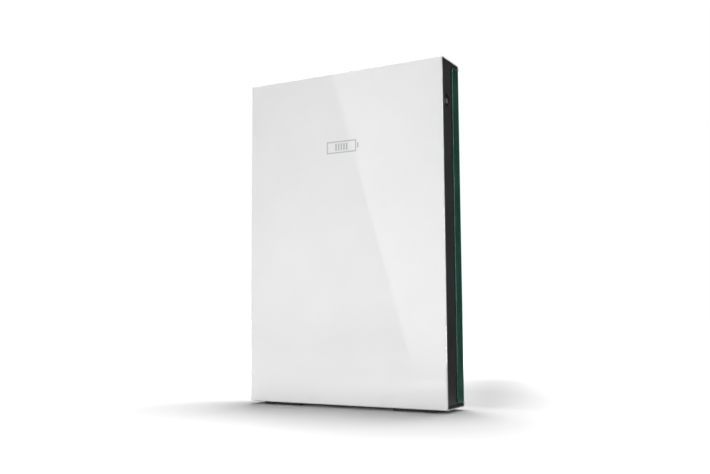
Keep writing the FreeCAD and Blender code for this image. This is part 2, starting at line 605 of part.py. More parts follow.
# ================================================================ feet
FOOT_HALF = "(foot_height - pad_thick)"
feet = []
for sx in (-1, 1):
    pad_centre = (f"{sx} * foot_spacing / 2", 0, f"pad_thick + {FOOT_HALF} / 2")
    foot = block(pad_centre, ("foot_width", "foot_length", FOOT_HALF))
    foot = ease(foot, 6, lambda e: along("z", e))
    wells = []
    for x, y in FOOT_BOLTS[:2] if sx == -1 else FOOT_BOLTS[2:]:
        wells += [rod((x, y, "pad_thick"), "z", 6, "foot_height - pad_thick - 3"),
                  rod((x, y, "pad_thick"), "z", 3.4, "foot_height - pad_thick")]
    feet.append(cut(foot, *wells))
keep(group(*feet), "feet")
pads = []
for sx in (-1, 1):
    for dx in (-1, 1):
        for sy in (-1, 1):
            pads.append(block((f"{sx} * foot_spacing / 2 + {dx} * (foot_width - pad_size) / 2 - {dx} * 5",
                               f"{sy} * (foot_length - pad_size) / 2 - {sy} * 5", "pad_thick / 2"),
                              ("pad_size", "pad_size", "pad_thick")))
keep(group(*pads), "foot_pads")
bolt = screw(4.8, 3, 3, 9.5)
level = number("foot_height - 3")
turns = [a * math.pi / 3 for a in range(7)]
hexagon = Part.makePolygon([Vector(5.6 * math.cos(turn), 6.5, 5.6 * math.sin(turn)) for turn in turns])
nut = Part.Face(hexagon).extrude(Vector(0, 3, 0))
bolt = bolt.fuse(nut).removeSplitter()
screws("foot_bolts", bolt, [(number(x), number(y), level) for x, y in FOOT_BOLTS], Vector(0, 0, 1))

# A breather with a membrane cap, below the floor of the enclosure.
stem = rod((-90, 30, "foot_height - 0.5"), "z", 3.2, "shell_sheet + 4")
cap = rod((-90, 30, "foot_height - 4.5"), "z", 8, 4.5)
cap = ease(cap, 1, lambda e: lies(e, z=number("foot_height - 4.5")))
keep(fuse(stem, cap), "breather_vent")

# ================================================================ wall bracket, cleats
BRACKET_FACE = "(unit_depth / 2 - bracket_sheet)"
HOOK_FRONT = "(unit_depth / 2 - recess_depth + 4.5)"
bracket = Piece("wall_bracket")
bracket.pad("front", (0, BACK, "bracket_level"), [rounded("bracket_width", "bracket_height", 12)],
            "bracket_sheet", "-y")
bracket.pocket("front", (0, BACK, "bracket_level"), [rounded(190, 400, 20)], "bracket_sheet", "-y")
anchors = [(f"{sx} * anchor_spacing / 2", f"{sz} * anchor_rise / 2") for sx in (-1, 1) for sz in (-1, 1)]
bracket.pocket("front", (0, BACK, "bracket_level"), [circles(anchors, "anchor_radius")],
               "bracket_sheet", "-y")
for sx in (-1, 1):
    for level in ("cleat_lower", "cleat_upper"):
        x = f"{sx} * cleat_spread"
        bracket.pad("front", (x, BRACKET_FACE, f"{level} + hook_sheet / 2"),
                    [rectangle("hook_width", "hook_sheet")], f"{BRACKET_FACE} - {HOOK_FRONT}", "-y")
        bracket.pad("front", (x, HOOK_FRONT, f"{level} + hook_rise / 2"),
                    [rectangle("hook_width", "hook_rise")],
                    "hook_sheet", "+y")
    bracket.pad("front", (f"{sx} * (bracket_width - bracket_sheet) / 2", BRACKET_FACE, "bracket_level"),
                [rectangle("bracket_sheet", "bracket_height - 40")], 8, "-y")
cleats = []
for sx in (-1, 1):
    for level in ("cleat_lower", "cleat_upper"):
        x = f"{sx} * cleat_spread"
        web = f"{level} + hook_rise + hook_sheet / 2"
        cleats.append(fuse(
            block((x, RECESS_FACE + " + 1.25", f"{level} + 17.5"), ("cleat_width", 2.5, 55)),
            block((x, RECESS_FACE + " + 7.5", web), ("cleat_width", 10, "hook_sheet")),
            block((x, RECESS_FACE + " + 11.25", f"{web} - 8"), ("cleat_width", 2.5, 16))))
tools = [rod((x, RECESS_FACE, z), "y", "screw_radius + screw_clearance", 4) for x, z in CLEAT_SCREWS]
keep(group(*(cut(cleat, *tools[2 * i:2 * i + 2]) for i, cleat in enumerate(cleats))), "hanger_cleats")
cleat_screw = screw(number("screw_head_radius"), number("screw_head_height") - 0.6, number("screw_radius"), 8)
screws("cleat_screws", cleat_screw,
       [(number(x), number(RECESS_FACE + " + 2.5"), number(z)) for x, z in CLEAT_SCREWS], Vector(0, -1, 0))

# ================================================================ service lid
LID_BACK = "(rim_setback - unit_depth / 2 - gasket_thick)"
HATCH = ("hatch_width - 16", "hatch_height - 16")
HATCH_SCREWS = [(f"wiring_centre + {x}", f"wiring_level + {z}") for x, z in hatch_screw_points()]
LID_PANELS = [(f"{sx} * 140", f"{MIDDLE} + {row} * stud_rise") for sx in (-1, 1) for row in (-1, 0, 1)]
lid = Piece("inner_lid")
lid.pad("front", (0, LID_FACE, MIDDLE), [rounded(INSIDE_WIDTH + " - 2", INSIDE_HEIGHT + " - 2", 3)],
        "lid_sheet", "+y")
for x, z in LID_PANELS:
    lid.pad("front", (x, LID_FACE, z), [rounded(190, 300, 14)], "lid_panel_rise", "-y")
raised = number(LID_FACE + " - lid_panel_rise")
lid.dress("Fillet", 1.6, lambda e: lies(e, y=raised))
for x, z in LID_PANELS:
    lid.pocket("front", (x, LID_BACK, z), [rounded(186, 296, 12)], "lid_panel_rise", "-y")
lid.pocket("front", (0, LID_FACE, MIDDLE), [circles(lid_screw_points(), "screw_radius + screw_clearance")],
           "lid_sheet", "+y")
lid.pocket("front", ("wiring_centre", LID_FACE, "wiring_level"), [rectangle(*HATCH)], "lid_sheet", "+y")
lid.pocket("front", (0, LID_FACE, 0), [circles(HATCH_SCREWS, 2)], "lid_sheet", "+y")

# Two foam seals are stuck to the lid: one for the rim and one for the front of the wiring compartment.
gasket = Piece()
gasket.pad("front", (0, LID_BACK, MIDDLE),
           [rectangle(INSIDE_WIDTH + " - 4", INSIDE_HEIGHT + " - 4"),
            rectangle(INSIDE_WIDTH + " - 2 * rim_width", INSIDE_HEIGHT + " - 2 * rim_width")],
           "gasket_thick", "+y")
gasket.pocket("front", (0, LID_BACK, MIDDLE),
              [circles(lid_screw_points(), "screw_radius + 2 * screw_clearance")],
              "gasket_thick", "+y")
seal = Piece()
seal.pad("front", ("wiring_centre", LID_BACK, "wiring_level"),
         [rectangle("wiring_width", "wiring_height"), rectangle("wiring_width - 26", "wiring_height - 34")],
         "rim_sheet + gasket_thick", "+y")
keep(group(gasket.body, seal.body), "lid_gasket")

lid_screw = screw(number("screw_head_radius"), number("screw_head_height"), number("screw_radius"),
                  number("lid_screw_length"))
screws("lid_screws", lid_screw,
       [(number(x), number(LID_FACE), number(f"{MIDDLE} + {z}")) for x, z in lid_screw_points()])

clips = []
for x, z in stud_points():
    at = (x, LID_FACE + " - clip_height", f"{MIDDLE} + {z}")
    collar = ease(rod(at, "y", "clip_radius", "clip_height"), 1,
                  lambda e: lies(e, y=number(LID_FACE + " - clip_height")))
    clips.append(cut(collar, rod(at, "y", "clip_bore", "clip_height")))
keep(group(*clips), "cover_clips")

hatch = Piece("wiring_cover")
flange = LID_FACE + " - hatch_sheet"
hatch.pad("front", ("wiring_centre", LID_FACE, "wiring_level"), [rounded("hatch_width", "hatch_height", 5)],
          "hatch_sheet", "-y")
hatch.pad("front", ("wiring_centre", flange, "wiring_level"),
          [rounded("hatch_width - 28", "hatch_height - 28", 8)],
          "hatch_depth - hatch_sheet", "-y")
raised_hatch = number(LID_FACE + " - hatch_depth")
hatch.dress("Fillet", 1.2, lambda e: lies(e, y=raised_hatch))
hatch.pocket("front", ("wiring_centre", LID_FACE, "wiring_level"),
             [rounded("hatch_width - 31", "hatch_height - 31", 6.5)], "hatch_depth - hatch_sheet", "-y")
hatch.pocket("front", (0, LID_FACE, 0), [circles(HATCH_SCREWS, 2)], "hatch_sheet", "-y")
hatch_screw = screw(3.4, 2.2, 1.8, 3.5)
screws("wiring_cover_screws", hatch_screw, [(number(x), number(flange), number(z)) for x, z in HATCH_SCREWS])

# ================================================================ wiring compartment
WIRING_FRONT = f"({RIM_FACE} + rim_sheet)"
WIRING_DEPTH = f"({INNER_BACK} - {WIRING_FRONT})"
wiring = Piece("wiring_box")
wiring.pad("front", ("wiring_centre", WIRING_FRONT, "wiring_level"),
           [rounded("wiring_width", "wiring_height", 6),
            rounded("wiring_width - 2 * wiring_wall", "wiring_height - 2 * wiring_wall", 3)],
           WIRING_DEPTH, "+y")
FEEDS = [("-30", f"wiring_level + {dz}") for dz in (-40, 0, 40)]
wiring.pocket("side", ("wiring_centre - wiring_width / 2", 0, 0), [circles(FEEDS, 5)], "wiring_wall", "+x")

# One conduit entry keeps its blanking plug, a cup pressed into the back sheet from outside.
plug_at = (CONDUITS[0][0], BACK + " - 7", "conduit_level")
keep(cut(rod(plug_at, "y", "conduit_radius - 0.1", 7), rod(plug_at, "y", "conduit_radius - 2", 5)),
     "conduit_plug")

# Terminal block on the back sheet, with a wire's way in and a screw for each pole.
POLE_LEVELS = [f"terminal_level + ({i} - (pole_count - 1) / 2) * pole_pitch"
               for i in range(int(number("pole_count")))]
body = block(("wiring_centre", INNER_BACK + " - 15", "terminal_level"),
             (44, 30, "pole_count * pole_pitch + 6"))
wells = []
for z in POLE_LEVELS:
    wells.append(rod(("wiring_centre - 11", INNER_BACK + " - 30", z), "y", 4.2, 16))
    wells.append(block(("wiring_centre + 16", INNER_BACK + " - 20", z), (20, 9, 8)))
keep(cut(body, *wells), "terminal_block")
pole_screw = screw(3.8, 2.4, 2, 7)
screws("terminal_screws", pole_screw,
       [(number("wiring_centre - 11"), number(INNER_BACK + " - 21"), number(z)) for z in POLE_LEVELS])
bar = block(("wiring_centre", INNER_BACK + " - 5", "wiring_level - 105"), (70, 10, 10))
holes = [rod((f"wiring_centre + {dx}", INNER_BACK + " - 10", "wiring_level - 105"), "y", 2, 8)
         for dx in (-28, -14, 0, 14, 28)]
keep(cut(bar, *holes), "ground_bar")
jacks = []
for dz in (99, 115):
    jack = block(("wiring_centre - 36", INNER_BACK + " - 9", f"wiring_level + {dz}"), (14, 18, 14))
    socket = block(("wiring_centre - 36", INNER_BACK + " - 13", f"wiring_level + {dz}"), (11.5, 10, 8.5))
    jacks.append(cut(jack, socket))
keep(group(*jacks), "comms_connectors")

# ================================================================ battery modules
TRAY_FRONT = "(module_front + module_wall)"
TRAY_DEPTH = f"(module_rear - {TRAY_FRONT})"
SIDE_GAP = "(unit_width / 4 - side_inset / 2 - wall_sheet / 2 + module_width / 4)"
HEADER_Y = 35
# Each module's coolant ports: side, level about the module's middle, and whether the spigot is up or down.
LOWER_PORTS = [(-1, 140, 1), (1, 0, 1)]
UPPER_PORTS = [(-1, -140, -1), (-1, 140, 1)]
MODULES = [("module_lower", LOWER_PORTS), ("module_upper", UPPER_PORTS)]
MODULE_LEVELS = ("module_lower", "module_upper")
POSTS = [(f"{sx} * (module_width / 2 - module_wall - 4.4)", dz)
         for sx in (-1, 1) for dz in (-155, -52, 52, 155)]
trays, lids, plates = [], [], []
for level, header_ports in MODULES:
    tray = block((0, f"({TRAY_FRONT} + module_rear) / 2", level),
                 ("module_width", TRAY_DEPTH, "module_height"))
    tray = ease(tray, 6, lambda e: along("y", e))
    cavity = block((0, f"({TRAY_FRONT} + module_rear - module_wall) / 2", level),
                   ("module_width - 2 * module_wall", f"{TRAY_DEPTH} - module_wall",
                    "module_height - 2 * module_wall"))
    ports = [block((f"{sx} * module_width / 2", HEADER_Y, f"{level} + {dz}"), (12, 16.4, 17))
             for sx, dz, up in header_ports]
    posts = [rod((x, TRAY_FRONT, f"{level} + {dz}"), "y", 4.6, f"{TRAY_DEPTH} - 1") for x, dz in POSTS]
    holes = [rod((x, TRAY_FRONT, f"{level} + {dz}"), "y", 2.5, 12) for x, dz in POSTS]
    trays.append(cut(fuse(cut(tray, cavity, *ports), *posts), *holes))

    lid_plate = block((0, "module_front + module_wall / 2", level),
                      ("module_width", "module_wall", "module_height"))
    lid_plate = ease(lid_plate, 6, lambda e: along("y", e))
    pans = [block((f"{dx} * 165", "module_front + 0.6", level), (140, 1.2, 290))
            for dx in (-1.5, -0.5, 0.5, 1.5)]
    holes = [rod((x, "module_front", f"{level} + {dz}"), "y", 2.9, "module_wall") for x, dz in POSTS]
    lids.append(cut(lid_plate, *pans, *holes))

    cold = [block((0, "module_rear - module_wall - cold_plate_thick / 2", level),
                  ("module_width - 24", "cold_plate_thick", "module_height - 20"))]
    for sx, dz, up in header_ports:
        cold.append(block((f"{sx} * ({SIDE_GAP} - 8)", HEADER_Y, f"{level} + {dz}"), (32, 16, 16)))
        cold.append(rod((f"{sx} * {SIDE_GAP}", HEADER_Y, f"{level} + {dz} - {0 if up == 1 else 22}"), "z",
                        "hose_bore - 0.05", 22))
    plates.append(fuse(*cold))
keep(group(*trays), "module_trays")
keep(group(*lids), "module_lids")
keep(group(*plates), "cold_plates")
CELL_REAR = "(cell_front + cell_length)"
PLATE_FRONT = "(module_rear - module_wall - cold_plate_thick)"
keep(group(*(block((0, f"({CELL_REAR} + {PLATE_FRONT}) / 2", level),
                   ("module_width - 40", f"{PLATE_FRONT} - {CELL_REAR}", "module_height - 20"))
             for level in MODULE_LEVELS)), "thermal_pads")

# Rows of cylinders, each set half a pitch along from the last, with a strip across every other row.
columns, rows = int(number("cell_columns")), int(number("cell_rows"))
pitch, row_pitch = number("cell_pitch"), number("cell_row_pitch")
strip_size = (columns * pitch - 8, number("busbar_thick"), row_pitch * 0.6)
cells, busbars = [], []
for level in MODULE_LEVELS:
    for row in range(rows):
        z = number(level) + (row - (rows - 1) / 2) * row_pitch
        shift = pitch / 4 if row % 2 else -pitch / 4
        for column in range(columns):
            foot = Vector((column - (columns - 1) / 2) * pitch + shift, number("cell_front"), z)
            cells.append(Part.makeCylinder(number("cell_radius"), number("cell_length"), foot, AXES["y"]))
        if row % 2 == 0:
            corner = Vector(-strip_size[0] / 2, number("cell_front - busbar_thick"), z - strip_size[2] / 2)
            busbars.append(Part.makeBox(*strip_size, corner))
feature(Part.makeCompound(cells), "battery_cells")
feature(Part.makeCompound(busbars), "busbars")

# Each module's monitoring board: chips on the front, and four spacers that stand on the busbars' side.
CHIPS = [(-40, 20, 22, 22), (0, 20, 16, 16), (40, 18, 24, 14), (-30, -22, 30, 10), (25, -22, 34, 12)]
BOARD_BACK = "(module_front + module_wall)"
boards = []
for level in MODULE_LEVELS:
    board = [block((-200, BOARD_BACK + " + 4", level), (150, "board_thick", 90))]
    for dx, dz, width, height in CHIPS:
        board.append(block((-200 + dx, BOARD_BACK + " + 5.4", f"{level} + {dz}"), (width, 1.4, height)))
    for dx in (-68, 68):
        for dz in (-38, 38):
            board.append(rod((-200 + dx, BOARD_BACK, f"{level} + {dz}"), "y", 2.5, 4))
    boards.append(fuse(*board))
keep(group(*boards), "bms_boards")

# Angle brackets hold the trays to the enclosure's side walls.
angles = []
for sx in (-1, 1):
    near, far = f"{sx} * module_width / 2", f"{sx} * {INSIDE_WIDTH} / 2"
    for level in MODULE_LEVELS:
        for dz in (-85, 85):
            z = f"{level} + {dz}"
            web = block((f"({near} + {far}) / 2", -12, z), (f"({INSIDE_WIDTH} - module_width) / 2", 3, 40))
            flanges = [block((x, -2, z), (3, 20, 40))
                       for x in (f"{near} + {sx} * 1.5", f"{far} - {sx} * 1.5")]
            angles.append(fuse(web, *flanges))
keep(group(*angles), "module_brackets")
module_screw = screw(4.4, 2.6, 2.4, 14)
screws("module_screws", module_screw,
        [(number(x), number("module_front"), number(f"{level} + {dz}"))
         for level in MODULE_LEVELS for x, dz in POSTS])

# ================================================================ inverter
INV_BACK = "(inverter_rear - fin_depth)"
INV_DEPTH = f"({INV_BACK} - inverter_front)"
INV_LEFT = "(inverter_centre - inverter_width / 2)"
INV_RIGHT = "(inverter_centre + inverter_width / 2)"
INV_BOTTOM = "(inverter_level - inverter_height / 2)"
BOARD = "power_board_face"
INV_FRONT_AT = ("inverter_centre", "inverter_front", "inverter_level")
inverter = Piece("inverter_housing")
inverter.pad("front", INV_FRONT_AT, [rounded("inverter_width", "inverter_height", 10)], INV_DEPTH, "+y")
inverter.pocket("front", INV_FRONT_AT,
                [rounded("inverter_width - 2 * inverter_wall", "inverter_height - 2 * inverter_wall", 6)],
                INV_DEPTH + " - inverter_wall", "+y")
fin = inverter.pad("front", (INV_LEFT + " + 12", INV_BACK, "inverter_level"),
                   [rectangle("fin_thick", "inverter_height - 24")], "fin_depth", "+y")
inverter.repeat(fin, "x", "inverter_width - 24", "fin_count")
STANDOFFS = [(f"inverter_centre + {sx} * 178", f"inverter_level + {sz} * 148")
             for sx in (-1, 1) for sz in (-1, 0, 1)]
inverter.pad("front", (0, INV_BACK + " - inverter_wall", 0), [circles(STANDOFFS, 5)],
             f"{INV_BACK} - inverter_wall - {BOARD} - board_thick", "-y")
inverter.pocket("front", (0, BOARD + " + board_thick", 0), [circles(STANDOFFS, 1.8)], 6, "+y")
DC_FEEDS = [("-70", "-10"), ("-30", "-10")]
inverter.pocket("top", (0, 0, INV_BOTTOM), [circles(DC_FEEDS, 6.2)], "inverter_wall", "+z")
inverter.pocket("side", (INV_RIGHT, 0, 0), [circles(FEEDS, 6.2)], "inverter_wall", "-x")
INV_INLET = ("inverter_centre + 160", 14)
INV_OUTLET = (0, "radiator_level + radiator_height / 2 - 10")
inverter.pad("top", (*INV_INLET, INV_BOTTOM), [circle(NIPPLE)], "nipple_length", "-z")
inverter.pad("side", (INV_LEFT, *INV_OUTLET), [circle(NIPPLE)], "nipple_length", "-x")


def on_board(dx, dz, size):
    """A block that stands on the power board's front, at a place about the inverter's middle."""
    return block((f"inverter_centre + {dx}", f"{BOARD} - {size[1]} / 2", f"inverter_level + {dz}"), size)


board = [block(("inverter_centre", BOARD + " + board_thick / 2", "inverter_level"),
               (370, "board_thick", 312)),
         on_board(60, 118, (60, 6, 12)), on_board(-60, 118, (44, 6, 12))]
board += [on_board(-130 + 26 * i, -40, (16, 6, 20)) for i in range(6)]
holes = [rod((x, BOARD + " - 1", z), "y", 2, 6) for x, z in STANDOFFS]
keep(cut(fuse(*board), *holes), "power_board")
board_screw = screw(3.6, 2.2, 1.75, 6)
screws("board_screws", board_screw, [(number(x), number(BOARD), number(z)) for x, z in STANDOFFS])
CAP_TOP = BOARD + " - 36"
caps = [rod((f"inverter_centre - 140 + {i} * 30", CAP_TOP, f"inverter_level + {dz}"), "y", 12.5, 36)
        for dz in (30, 62) for i in range(5)]
keep(group(*(ease(cap, 1.2, lambda e: lies(e, y=number(CAP_TOP))) for cap in caps)), "capacitors")

# Each inductor: a ring core, a base disc and fourteen turns of flat wire.
coils = []
for i in range(3):
    core = Part.makeCylinder(24, 14, Vector(0, -19, 0), AXES["y"])
    core = core.cut(Part.makeCylinder(9, 14, Vector(0, -19, 0), AXES["y"]))
    wraps = []
    for turn in range(14):
        wrap = Part.makeBox(18, 17, 2.6, Vector(7.5, -20.5, -1.3))
        wrap.rotate(Vector(), AXES["y"], turn * 360 / 14)
        wraps.append(wrap)
    coil = core.fuse(wraps + [Part.makeCylinder(22, 4, Vector(0, -4, 0), AXES["y"])])
    coil.translate(Vector(number(f"inverter_centre + 40 + {i} * 56"), number(BOARD),
                          number("inverter_level + 50")))
    coils.append(coil.removeSplitter())
feature(Part.makeCompound(coils), "inductors")
keep(group(*(on_board(20 + 36 * i, -100, (26, 28, 32)) for i in range(4))), "relays")

# The control board stands in front of the power board on four long spacers.
CONTROL_CHIPS = [(-30, 20, 30, 30), (20, 24, 20, 20), (48, -10, 14, 40), (-30, -28, 40, 16)]
control_x, control_z = "inverter_centre - 105", "inverter_level - 90"
control = [block((control_x, "inverter_front + 8", control_z), (140, "board_thick", 110))]
for dx, dz, width, height in CONTROL_CHIPS:
    control.append(block((f"{control_x} + {dx}", "inverter_front + 6.4", f"{control_z} + {dz}"),
                         (width, 1.8, height)))
for dx in (-64, 64):
    for dz in (-49, 49):
        foot = (f"{control_x} + {dx}", "inverter_front + 8.8", f"{control_z} + {dz}")
        control.append(rod(foot, "y", 3, f"{BOARD} - inverter_front - 8.8"))
keep(fuse(*control), "control_board")

# ================================================================ cooling
RAD_FACE = "(radiator_centre + radiator_thick / 2)"
TUBE_PITCH = "((radiator_depth - tube_thick - 6) / (tube_count - 1))"
TANKS = [f"radiator_level + {sz} * (radiator_height / 2 - 10)" for sz in (-1, 1)]
tube_count = int(number("tube_count"))
core = [block(("radiator_centre", 0, z), ("radiator_thick", "radiator_depth", 20)) for z in TANKS]
core += [rod((RAD_FACE + " - 2", 0, z), "x", NIPPLE, 16) for z in TANKS]
core += [block(("radiator_centre", f"({i} - (tube_count - 1) / 2) * {TUBE_PITCH}", "radiator_level"),
               ("radiator_thick - 8", "tube_thick", "radiator_height - 30")) for i in range(tube_count)]
core = fuse(*core)
doc.recompute()

# A folded fin fills each gap between two tubes.
FOLDS = 40
gap = number(TUBE_PITCH) - number("tube_thick")
low = number("radiator_level") - (number("radiator_height") - 44) / 2
step = (number("radiator_height") - 44) / FOLDS
fins = []
for i in range(tube_count - 1):
    y0 = number(f"({i} - (tube_count - 1) / 2) * {TUBE_PITCH} + tube_thick / 2")
    near = [Vector(0, y0 if k % 2 else y0 + gap - 0.8, low + k * step) for k in range(FOLDS + 1)]
    far = [point + Vector(0, 0.8, 0) for point in near]
    fold = Part.Face(Part.makePolygon(near + far[::-1] + near[:1]))
    fold = fold.extrude(Vector(number("radiator_thick") - 12, 0, 0))
    fold.translate(Vector(number("radiator_centre - radiator_thick / 2") + 6, 0, 0))
    fins.append(fold)
feature(Part.makeCompound([core.Shape] + fins), "radiator")

# Two axial fans behind the radiator. Each rotor turns on a pin that stands up from the motor plate.
FAN_PIN = 2.0
X_AXIS = AXES["x"]
x0, thick, half = number("fan_front"), number("fan_thick"), number("fan_size") / 2
bore, hub, blade_count = number("fan_bore"), number("fan_hub"), int(number("fan_blades"))


def fan_frame(z):
    """The square frame with its four struts, its motor plate and its pin, with the axis at a height."""
    frame = Part.makeBox(thick, 2 * half, 2 * half, Vector(x0, -half, z - half))
    frame = frame.makeFillet(4, [e for e in frame.Edges if along("x", e)])
    frame = frame.cut(Part.makeCylinder(bore, thick, Vector(x0, 0, z), X_AXIS))
    for sy in (-1, 1):
        for sz in (-1, 1):
            frame = frame.cut(Part.makeCylinder(2.2, thick, Vector(x0, sy * 41.25, z + sz * 41.25), X_AXIS))
    motor = Part.makeCylinder(hub, 4, Vector(x0 + thick - 4, 0, z), X_AXIS)
    motor = motor.fuse(Part.makeCylinder(FAN_PIN, thick - 8, Vector(x0 + 4, 0, z), X_AXIS))
    for k in range(4):
        strut = Part.makeBox(3, 3, bore, Vector(x0 + thick - 3, -1.5, z))
        strut.rotate(Vector(0, 0, z), X_AXIS, 45 + 90 * k)
        motor = motor.fuse(strut)
    return frame.fuse(motor).removeSplitter()


def fan_rotor(z):
    """The hub and its pitched blades, trimmed to the tip circle and bored for the pin."""
    rotor = Part.makeCylinder(hub - 1, thick - 10, Vector(x0 + 2, 0, z), X_AXIS)
    blades = []
    for k in range(blade_count):
        corners = [Vector(-8, 0, hub - 4), Vector(8, 0, hub - 4), Vector(13, 0, bore), Vector(-13, 0, bore)]
        blade = Part.Face(Part.makePolygon(corners + corners[:1])).extrude(Vector(0, 1.6, 0))
        blade.rotate(Vector(), AXES["z"], 52)
        blade.translate(Vector(x0 + 10.5, 0, z))
        blade.rotate(Vector(x0, 0, z), X_AXIS, 360 * k / blade_count)
        blades.append(blade)
    swept = Part.makeCylinder(bore - number("fan_tip_gap"), thick, Vector(x0, 0, z), X_AXIS)
    rotor = rotor.fuse(blades).common(swept)
    rotor = rotor.cut(Part.makeCylinder(FAN_PIN + 0.05, thick, Vector(x0, 0, z), X_AXIS))
    return rotor.removeSplitter()


feature(fan_rotor(number("fan_lower")), "fan_rotor_lower")
feature(fan_rotor(number("fan_upper")), "fan_rotor_upper")
feature(Part.makeCompound([fan_frame(number("fan_lower")), fan_frame(number("fan_upper"))]), "fan_frames")

# The pump: a wet chamber at the inlet end, with the motor behind it and the impeller on a fixed shaft.
PUMP_LEFT = "(pump_centre - pump_length / 2)"
PUMP_INLET, PUMP_OUTLET = "(pump_centre - 7)", "(pump_centre - 10)"
pump_face = number("pump_centre + pump_length / 2")
pump = ease(rod((PUMP_LEFT, 0, "pump_level"), "x", "pump_radius", "pump_length"), 3,
            lambda e: lies(e, x=pump_face))
spigots = [rod((PUMP_LEFT + " - 14", 0, "pump_level"), "x", NIPPLE, 15),
           rod((PUMP_OUTLET, 0, "pump_level - pump_radius - nipple_length"), "z", NIPPLE,
               "nipple_length + 2"),
           rod((PUMP_INLET, 0, "pump_level + pump_radius - 2"), "z", NIPPLE, 14)]
chamber = rod((PUMP_LEFT + " + 3", 0, "pump_level"), "x", "impeller_radius + 2", 14)
hole = rod((PUMP_LEFT + " - 14", 0, "pump_level"), "x", "hose_bore - 2", 18)
shaft = rod((PUMP_LEFT + " + 5", 0, "pump_level"), "x", 2.5, 14)
keep(fuse(cut(fuse(pump, *spigots), chamber, hole), shaft), "pump_body")

pump_end = Vector(number(PUMP_LEFT), 0, number("pump_level"))
impeller_radius = number("impeller_radius")


def on_pump(x, radius, length):
    """A cylinder on the pump's axis, from a distance along it."""
    return Part.makeCylinder(radius, length, pump_end + Vector(x, 0, 0), X_AXIS)


wheel = on_pump(12, impeller_radius, 3).fuse(on_pump(6, 5, 8))
for k in range(6):
    vane = Part.makeBox(6, 1.6, 16, Vector(0, -0.8, 4.5))
    vane.rotate(Vector(0, 0, 4.5), X_AXIS, 30)
    vane.rotate(Vector(), X_AXIS, 60 * k)
    vane.translate(pump_end + Vector(7, 0, 0))
    wheel = wheel.fuse(vane)
wheel = wheel.common(on_pump(0, impeller_radius, 20)).cut(on_pump(0, 2.55, 30))
feature(wheel.removeSplitter(), "pump_impeller")

# The coolant bottle, with its neck, outlet and screw cap.
BOTTLE_TOP = "(bottle_level + bottle_height / 2)"
bottle = block(("bottle_centre", 0, "bottle_level"), ("bottle_width", "bottle_depth", "bottle_height"))
bottle = ease(bottle, 14, lambda e: along("z", e))
hollow = block(("bottle_centre", 0, "bottle_level"),
               ("bottle_width - 5", "bottle_depth - 5", "bottle_height - 5"))
hollow = ease(hollow, 12, lambda e: along("z", e))
neck = rod(("bottle_centre", 0, BOTTLE_TOP + " - 1"), "z", 12, 4)
outlet = rod((PUMP_INLET, 0, "bottle_level - bottle_height / 2 - 12"), "z", NIPPLE, 13)
keep(cut(fuse(bottle, neck, outlet), hollow, rod(("bottle_centre", 0, BOTTLE_TOP + " - 4"), "z", 9, 8)),
     "coolant_bottle")
cap_foot = BOTTLE_TOP + " + 0.5"
cap = cut(rod(("bottle_centre", 0, cap_foot), "z", 16, 9.5),
          rod(("bottle_centre", 0, cap_foot), "z", 12.08, 2.7))
grips = []
for turn in range(12):
    dx, dy = 16.4 * math.cos(turn * math.pi / 6), 16.4 * math.sin(turn * math.pi / 6)
    grips.append(rod((f"bottle_centre + {dx:.3f}", f"{dy:.3f}", cap_foot), "z", 1.6, 9.5))
keep(cut(cap, *grips), "bottle_cap")


# ================================================================ hoses and cables
def path(points, bend):
    """A wire of straight runs joined by tangent arcs."""
    edges = []
    start = points[0]
    for before, corner, after in zip(points, points[1:], points[2:]):
        a, b = (before - corner).normalize(), (after - corner).normalize()
        half = a.getAngle(b) / 2
        reach = bend / math.tan(half)
        first, last = corner + a * reach, corner + b * reach
        inward = (a + b).normalize()
        middle_point = corner + inward * (bend / math.sin(half) - bend)
        edges += [Part.makeLine(start, first), Part.Arc(first, middle_point, last).toShape()]
        start = last
    edges.append(Part.makeLine(start, points[-1]))
    return Part.Wire(edges)


def tube(points, bend, radius, bore=None):
    """A round cable or hose along a path."""
    wire = path([Vector(*(number(v) for v in point)) for point in points], bend)
    direction = wire.Edges[0].tangentAt(wire.Edges[0].FirstParameter)

    def sweep(r):
        ring = Part.Wire(Part.makeCircle(r, wire.Edges[0].Vertexes[0].Point, direction))
        return wire.makePipeShell([ring], True, True)

    solid = sweep(radius)
    if bore:
        solid = solid.cut(sweep(bore))
    expected = math.pi * (radius ** 2 - (bore or 0) ** 2) * wire.Length
    assert abs(solid.Volume / expected - 1) < 0.01, "a hose does not follow its path"
    return solid


# Moulded hoses with elbows, each from spigot to spigot, the way the coolant goes round from the radiator.
CROSSOVER = 768
LEFT_GAP, RIGHT_GAP = "-" + SIDE_GAP, SIDE_GAP
ROUTES = [
    [(RAD_FACE, 0, "pump_level"), (PUMP_LEFT, 0, "pump_level")],
    [(PUMP_INLET, 0, "bottle_level - bottle_height / 2"), (PUMP_INLET, 0, "pump_level + pump_radius")],
    [(PUMP_OUTLET, 0, "pump_level - pump_radius"), (PUMP_OUTLET, 0, CROSSOVER),
     (LEFT_GAP, HEADER_Y, CROSSOVER),
     (LEFT_GAP, HEADER_Y, "module_upper + 148")],
    [(LEFT_GAP, HEADER_Y, "module_upper - 148"), (LEFT_GAP, HEADER_Y, "module_lower + 148")],
    [(RIGHT_GAP, HEADER_Y, "module_lower + 8"), (RIGHT_GAP, HEADER_Y, CROSSOVER), (*INV_INLET, CROSSOVER),
     (*INV_INLET, INV_BOTTOM)],
    [(RAD_FACE, *INV_OUTLET), (INV_LEFT, *INV_OUTLET)],
]
outer, inner_radius = number("hose_radius"), number("hose_bore")
hoses, clamps = [], []
